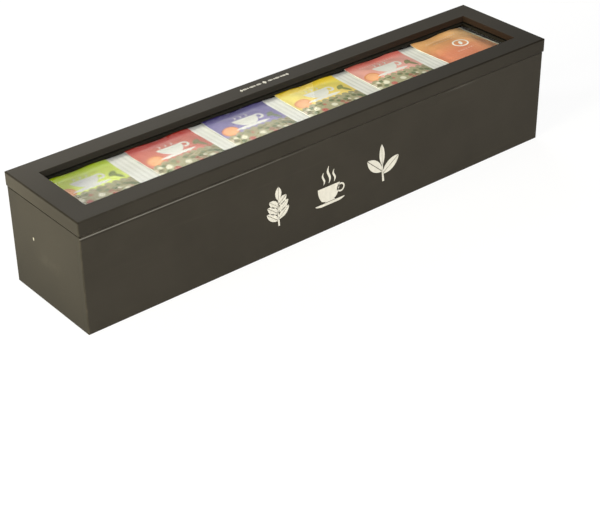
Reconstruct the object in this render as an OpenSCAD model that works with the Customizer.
// Long box with compartments for tea sachets, under a hinged lid with a glass pane.
//
// The body is six painted boards: front and back walls rabbeted over the end walls, a bottom
// panel let in flush from below, and thin dividers slid into grooves. The lid is a mitred frame
// of four rails. The pane lies in a rebate under the frame's lip and is held up by four mitred
// beads. Two small five-knuckle butt hinges, let into the back wall and the back rail, join them.
//
// Units are millimetres. X runs along the length, +Y points to the hinged back and +Z up.
// The origin is the centre of the base of the whole part's bounding box.

/* [Body] */
// Length of the body, over its end walls
body_length = 428.5; // [300:0.5:600]
// Depth of the body, front face to back face
body_depth = 89.25; // [70:0.25:130]
// Height of the body, from the table to the seam under the lid
body_height = 75.5; // [50:0.5:120]
// Thickness of the front, back and end walls
wall_t = 8; // [6:0.5:12]
// Thickness of the lips of the front and back walls that cover the ends of the end walls
corner_lip = 4; // [2:0.5:5]
// Thickness of the bottom panel
bottom_t = 4; // [3:0.5:6]
// How far the bottom panel is let into the walls
bottom_rabbet = 4; // [2:0.5:5]

/* [Dividers] */
// Number of compartments, side by side
compartments = 6; // [2:1:10]
// Thickness of a divider
divider_t = 3; // [2:0.5:6]
// How far the tops of the dividers lie below the seam
divider_drop = 5; // [1:0.5:20]
// Depth of the grooves in the front and back walls
groove_depth = 2.5; // [1:0.5:3.5]
// Clearance between a divider and each side of its groove
groove_fit = 0.1; // [0:0.05:0.3]

/* [Lid] */
// Thickness of the lid frame
lid_t = 11.5; // [10:0.5:18]
// Width of the four lid rails
rail_w = 17; // [15:0.5:30]
// How far the lid overhangs the body at the front and at both ends
lid_overhang = 0.75; // [0:0.05:4]
// Thickness of the lip that the glass bears up against
lip_t = 4.5; // [2.5:0.5:5]
// Width of the rebate for the glass and its beads
rebate_w = 5; // [3:0.5:6.5]
// Thickness of the glass pane
glass_t = 2; // [1.5:0.5:3]
// Clearance round the edge of the glass pane
glass_fit = 0.5; // [0.2:0.1:1]
// Width of a glazing bead
bead_w = 5; // [3:0.5:8]
// Thickness of a glazing bead
bead_t = 2; // [1.5:0.1:2]
// Clearance between the glazing beads and the side of the rebate
bead_fit = 0.1; // [0:0.05:0.3]

/* [Hinges] */
// Distance from the end of the body to the middle of a hinge
hinge_inset = 70; // [30:1:120]
// Length of a hinge along its pin
hinge_length = 25; // [18:0.5:40]
// Thickness of a hinge leaf
leaf_t = 0.8; // [0.6:0.1:1.2]
// Gap between the two leaves of a closed hinge
leaf_gap = 0.2; // [0.1:0.05:0.4]
// Width of the wall's edge that is left between a hinge leaf and the inside
hinge_land = 1.5; // [1:0.5:2.5]
// Clearance round a hinge leaf in its mortise
mortise_fit = 0.15; // [0.05:0.05:0.4]
// Number of knuckles in a hinge
knuckles = 5; // [3:2:7]
// Outside radius of a knuckle
knuckle_r = 1.6; // [1.4:0.1:2.4]
// Gap between two knuckles
knuckle_gap = 0.2; // [0.1:0.05:0.4]
// Gap between the knuckles and the back faces of the wall and the lid
knuckle_clear = 0.3; // [0.2:0.05:1]
// Radius of the hinge pin
pin_r = 0.75; // [0.5:0.05:0.9]
// Radial clearance between the pin and the knuckles
pin_fit = 0.05; // [0.02:0.01:0.1]
// Radius of the riveted heads of the pin
pin_head_r = 1.2; // [1:0.05:1.4]
// Thickness of the riveted heads of the pin
pin_head_t = 0.5; // [0.3:0.1:0.8]

/* [Hinge screws] */
// Distance between the two screws of a leaf
screw_spacing = 15; // [8:0.5:16]
// Length of a screw, its head included
screw_length = 7; // [5:0.5:8]
// Radius of a screw's shank
screw_r = 0.8; // [0.6:0.05:1]
// Radius of a screw's countersunk head
screw_head_r = 1.5; // [1.2:0.05:1.8]
// Height of a screw's countersunk head
screw_head_h = 0.7; // [0.5:0.05:0.75]
// Length of a screw's point
screw_point = 1.5; // [1:0.1:2]
// Width and depth of the slot in a screw's head
screw_slot = 0.35; // [0.2:0.05:0.4]
// Clearance between a screw and its hole
screw_fit = 0.05; // [0.02:0.01:0.1]

/* [Rounded edges] */
// Radius of the body's upright and bottom edges
body_edge_r = 1; // [0.4:0.1:2]
// Radius of the body's top edges, at the seam
seam_edge_r = 0.8; // [0.4:0.1:1.5]
// Radius of the lid's upright and top outer edges
lid_edge_r = 1; // [0.4:0.1:2]
// Radius of the lid's bottom outer edges
lid_under_r = 1.8; // [0.4:0.1:2.5]
// Radius of the window's top edge
window_edge_r = 0.6; // [0.2:0.1:1.2]
// Radius of the divider's top edges
divider_edge_r = 0.8; // [0.2:0.1:0.9]
// Radius of the inner bottom edge of a glazing bead
bead_edge_r = 1; // [0.5:0.1:1.4]

/* [Hidden] */
$fn = 48;
over = 1;                                   // how far a cutter runs past the face that it cuts

// Lengths, along X
body_end = body_length / 2;
lid_end = body_end + lid_overhang;
inner_end = body_end - wall_t;
window_end = lid_end - rail_w;
pitch = (2 * inner_end + divider_t) / compartments;
hinge_x = body_end - hinge_inset;
knuckle_length = (hinge_length - (knuckles - 1) * knuckle_gap) / knuckles;

// Depths, along Y: the hinge knuckles stand out behind the body
axis_out = knuckle_r + knuckle_clear;
lid_depth = body_depth + lid_overhang;
lid_front = -(lid_depth + axis_out + knuckle_r) / 2;
body_front = lid_front + lid_overhang;
back = lid_front + lid_depth;
hinge_y = back + axis_out;
inner_front = body_front + wall_t;
inner_back = back - wall_t;
lid_mid = (lid_front + back) / 2;
leaf_w = wall_t - hinge_land;
screw_y = -axis_out - leaf_w / 2;

// Heights, along Z
seam_z = body_height;
divider_h = seam_z - bottom_t - divider_drop;
lid_top = seam_z + lid_t;
glass_top = lid_top - lip_t;
bead_top = glass_top - glass_t;
bead_bottom = bead_top - bead_t;

divider_count = compartments - 1;
sides = [["left", -1], ["right", 1]];
rails = ["front", "back", "left", "right"];

paint_dark = [0.24, 0.22, 0.2];
paint_inside = [0.2, 0.185, 0.165];
pane_tint = [0.8, 0.9, 0.88, 0.35];
brass_plate = [0.72, 0.58, 0.32];
brass_screw = [0.78, 0.64, 0.36];

// ---- Shared shapes ----

// A box between two corners
module span(low, high) {
    translate(low)
        cube(high - low);
}

// Extrudes a Y-Z outline along X, or an X-Z outline along Y, both ways from the middle
module along_x(length) {
    rotate([90, 0, 90])
        linear_extrude(length, center = true)
            children();
}

module along_y(length, middle) {
    translate([0, middle, 0])
        rotate([90, 0, 0])
            linear_extrude(length, center = true)
                children();
}

// What is taken off a square corner at the origin to leave a quarter round of radius r
module corner_waste(r) {
    difference() {
        translate([-over, -over])
            square(r + over);
        translate([r, r])
            circle(r);
    }
}

// The waste of all four corners of a rectangle between two of its corners
module rectangle_waste(low, high, r_low, r_high) {
    translate(low)
        corner_waste(r_low);
    translate([high[0], low[1]])
        mirror([1, 0])
            corner_waste(r_low);
    translate([low[0], high[1]])
        mirror([0, 1])
            corner_waste(r_high);
    translate(high)
        rotate(180)
            corner_waste(r_high);
}

// The waste of all twelve edges of a box, centred on X, that runs from front to back
module box_edge_waste(half_length, front, bottom, top, r_bottom, r_top, r_upright) {
    along_x(2 * (half_length + over))
        rectangle_waste([front, bottom], [back, top], r_bottom, r_top);
    along_y(back - front + 2 * over, (front + back) / 2)
        rectangle_waste([-half_length, bottom], [half_length, top], r_bottom, r_top);
    translate([0, 0, bottom - over])
        linear_extrude(top - bottom + 2 * over)
            rectangle_waste([-half_length, front], [half_length, back], r_upright, r_upright);
}

// ---- Body ----

function divider_x(i) = -inner_end - divider_t / 2 + i * pitch;

module body_edge_waste() {
    box_edge_waste(body_end, body_front, 0, seam_z, body_edge_r, seam_edge_r, body_edge_r);
}

// The space that the bottom panel fills, open below
module bottom_seat(below) {
    half = inner_end + bottom_rabbet;
    span([-half, inner_front - bottom_rabbet, -below], [half, inner_back + bottom_rabbet, bottom_t]);
}

// The space that both end walls and the inside fill, between the walls' corner lips
module end_wall_seats() {
    for (m = [0, 1])
        mirror([m, 0, 0])
            span([inner_end, body_front + corner_lip, -over],
                 [body_end + over, back - corner_lip, seam_z + over]);
}

// The grooves of all the dividers, from the bottom panel up through the top of the walls
module divider_grooves() {
    for (i = [1:divider_count])
        translate([divider_x(i), 0, 0])
            span([-divider_t / 2 - groove_fit, inner_front - groove_depth, bottom_t],
                 [divider_t / 2 + groove_fit, inner_back + groove_depth, seam_z + over]);
}

// A front or back wall: a board along X with its corner lips, bottom rabbet and grooves
module long_wall(y_outer, y_inner) {
    difference() {
        span([-body_end, min(y_outer, y_inner), 0], [body_end, max(y_outer, y_inner), seam_z]);
        end_wall_seats();
        bottom_seat(over);
        divider_grooves();
        body_edge_waste();
    }
}

module front_wall() {
    color(paint_dark)
        long_wall(body_front, inner_front);
}

module back_wall() {
    color(paint_dark)
        difference() {
            long_wall(back, inner_back);
            for_each_hinge()
                leaf_recess();
        }
}

module end_wall(side) {
    color(paint_dark)
        difference() {
            mirror([side < 0 ? 1 : 0, 0, 0])
                span([inner_end, body_front + corner_lip, 0], [body_end, back - corner_lip, seam_z]);
            bottom_seat(over);
            body_edge_waste();
        }
}

module bottom_panel() {
    color(paint_inside)
        bottom_seat(0);
}

// A divider stands on the bottom panel with both ends in its grooves
module divider(i) {
    reach_front = inner_front - groove_depth + groove_fit;
    reach_back = inner_back + groove_depth - groove_fit;
    color(paint_inside)
        translate([divider_x(i), 0, bottom_t])
            along_y(reach_back - reach_front, (reach_front + reach_back) / 2)
                difference() {
                    translate([-divider_t / 2, 0])
                        square([divider_t, divider_h]);
                    for (m = [0, 1])
                        mirror([m, 0])
                            translate([-divider_t / 2, divider_h])
                                mirror([0, 1])
                                    corner_waste(divider_edge_r);
                }
}

// ---- Lid ----

// One of the four wedges between the mitre planes, which run in at 45 degrees from the corners
module mitre_wedge(rail) {
    half_depth = lid_depth / 2;
    apex = lid_end - half_depth;
    outer_x = lid_end + over;
    outer_y = half_depth + over;
    translate([0, lid_mid, seam_z - over])
        linear_extrude(lid_t + 2 * over)
            if (rail == "front" || rail == "back")
                mirror([0, rail == "back" ? 1 : 0])
                    polygon([[-outer_x, -outer_y], [outer_x, -outer_y], [apex, 0], [-apex, 0]]);
            else
                mirror([rail == "right" ? 1 : 0, 0])
                    polygon([[-outer_x, -outer_y], [-apex, 0], [-outer_x, outer_y]]);
}

// A box centred on the lid whose sides lie a distance in from the lid's outer faces
module lid_box(inset, bottom, top) {
    span([-lid_end + inset, lid_front + inset, bottom], [lid_end - inset, back - inset, top]);
}

// The whole frame: the block less its window, the rebate under the lip, and its edges
module lid_frame() {
    difference() {
        lid_box(0, seam_z, lid_top);
        lid_box(rail_w, seam_z - over, lid_top + over);
        lid_box(rail_w - rebate_w, seam_z - over, glass_top);
        box_edge_waste(lid_end, lid_front, seam_z, lid_top, lid_under_r, lid_edge_r, lid_edge_r);
        window_edge_waste();
    }
}

// The round along the window's top edge, on all four rails
module window_edge_waste() {
    window_depth = lid_depth - 2 * rail_w;
    along_x(2 * window_end)
        for (m = [0, 1])
            translate([lid_mid, lid_top])
                mirror([m, 0])
                    translate([window_depth / 2, 0])
                        mirror([0, 1])
                            corner_waste(window_edge_r);
    along_y(window_depth, lid_mid)
        for (m = [0, 1])
            mirror([m, 0])
                translate([window_end, lid_top])
                    mirror([0, 1])
                        corner_waste(window_edge_r);
}

module lid_rail(rail) {
    color(paint_dark)
        difference() {
            intersection() {
                lid_frame();
                mitre_wedge(rail);
            }
            if (rail == "back")
                for_each_hinge()
                    mirror([0, 0, 1])
                        leaf_recess();
        }
}

module glass_pane() {
    color(pane_tint)
        lid_box(rail_w - rebate_w + glass_fit, bead_top, glass_top);
}

// The four glazing beads as one ring, rounded along the inner bottom edge
module bead_ring() {
    outer = rail_w - rebate_w + bead_fit;
    inner = outer + bead_w;
    inner_x = lid_end - inner;
    inner_y = lid_depth / 2 - inner;
    difference() {
        lid_box(outer, bead_bottom, bead_top);
        lid_box(inner, bead_bottom - over, bead_top + over);
        along_x(2 * inner_x)
            for (m = [0, 1])
                translate([lid_mid, bead_bottom])
                    mirror([m, 0])
                        translate([inner_y, 0])
                            corner_waste(bead_edge_r);
        along_y(2 * inner_y, lid_mid)
            for (m = [0, 1])
                mirror([m, 0])
                    translate([inner_x, bead_bottom])
                        corner_waste(bead_edge_r);
    }
}

module glazing_bead(rail) {
    color(paint_inside)
        intersection() {
            bead_ring();
            mitre_wedge(rail);
        }
}

// ---- Hinges ----
// A hinge is drawn round its own axis: X along the pin, -Y into the boards, Z = 0 at the seam.
// The lower leaf has the outer knuckles. The upper leaf is drawn below and mirrored up.

module at_hinge(side) {
    translate([side * hinge_x, hinge_y, seam_z])
        children();
}

module for_each_hinge() {
    for (s = sides)
        at_hinge(s[1])
            children();
}

module for_each_screw() {
    for (x = [-screw_spacing / 2, screw_spacing / 2])
        translate([x, screw_y, -leaf_gap / 2])
            children();
}

// A cylinder along X that starts at x
module rod(x, length, r) {
    translate([x, 0, 0])
        rotate([0, 90, 0])
            cylinder(r = r, h = length);
}

// A countersunk screw with its head's face at the origin, or the hole that takes it
module screw_shape(fit) {
    translate([0, 0, -screw_head_h])
        cylinder(r1 = screw_r + fit, r2 = screw_head_r + fit, h = screw_head_h);
    translate([0, 0, -screw_length + screw_point])
        cylinder(r = screw_r + fit, h = screw_length - screw_point - screw_head_h / 2);
    translate([0, 0, -screw_length - fit])
        cylinder(r1 = fit, r2 = screw_r + fit, h = screw_point + fit);
}

// A leaf and its knuckles: first is 0 for the outer knuckles and 1 for those between them
module hinge_leaf(first) {
    plate_bottom = -leaf_gap / 2 - leaf_t;
    color(brass_plate)
        difference() {
            union() {
                span([-hinge_length / 2, -axis_out - leaf_w, plate_bottom],
                     [hinge_length / 2, -axis_out, plate_bottom + leaf_t]);
                for (k = [first:2:knuckles - 1]) {
                    x = -hinge_length / 2 + k * (knuckle_length + knuckle_gap);
                    rod(x, knuckle_length, knuckle_r);
                    span([x, -axis_out - over, plate_bottom],
                         [x + knuckle_length, 0, plate_bottom + leaf_t]);
                }
            }
            rod(-hinge_length / 2 - over, hinge_length + 2 * over, pin_r + pin_fit);
            for_each_screw()
                screw_shape(screw_fit);
        }
}

// What a board loses to a leaf: its mortise, open at the back, and the screw holes
module leaf_recess() {
    side = hinge_length / 2 + mortise_fit;
    span([-side, -axis_out - leaf_w - mortise_fit, -leaf_gap / 2 - leaf_t], [side, over, over]);
    for_each_screw()
        screw_shape(screw_fit);
}

module hinge_lower_leaf(side) {
    at_hinge(side)
        hinge_leaf(0);
}

module hinge_upper_leaf(side) {
    at_hinge(side)
        mirror([0, 0, 1])
            hinge_leaf(1);
}

// The pin, with a riveted head against each outer knuckle
module hinge_pin(side) {
    color(brass_screw)
        at_hinge(side) {
            rod(-hinge_length / 2 - pin_head_t, hinge_length + 2 * pin_head_t, pin_r);
            for (m = [0, 1])
                mirror([m, 0, 0])
                    rod(hinge_length / 2, pin_head_t, pin_head_r);
        }
}

// The screws of both leaves on one board, each with a slot across its head
module leaf_screws() {
    color(brass_screw)
        for_each_screw()
            difference() {
                screw_shape(0);
                span([-screw_head_r - over, -screw_slot / 2, -screw_slot],
                     [screw_head_r + over, screw_slot / 2, over]);
            }
}

module lower_leaf_screws() {
    for_each_hinge()
        leaf_screws();
}

module upper_leaf_screws() {
    for_each_hinge()
        mirror([0, 0, 1])
            leaf_screws();
}

front_wall();
back_wall();
end_wall(-1);  // left_end_wall
end_wall(1);  // right_end_wall
bottom_panel();
for (i = [1:divider_count])
    divider(i);
for (rail = rails) {
    lid_rail(rail);
    glazing_bead(rail);
}
glass_pane();
for (s = sides) {
    hinge_lower_leaf(s[1]);
    hinge_upper_leaf(s[1]);
    hinge_pin(s[1]);
}
lower_leaf_screws();
upper_leaf_screws();
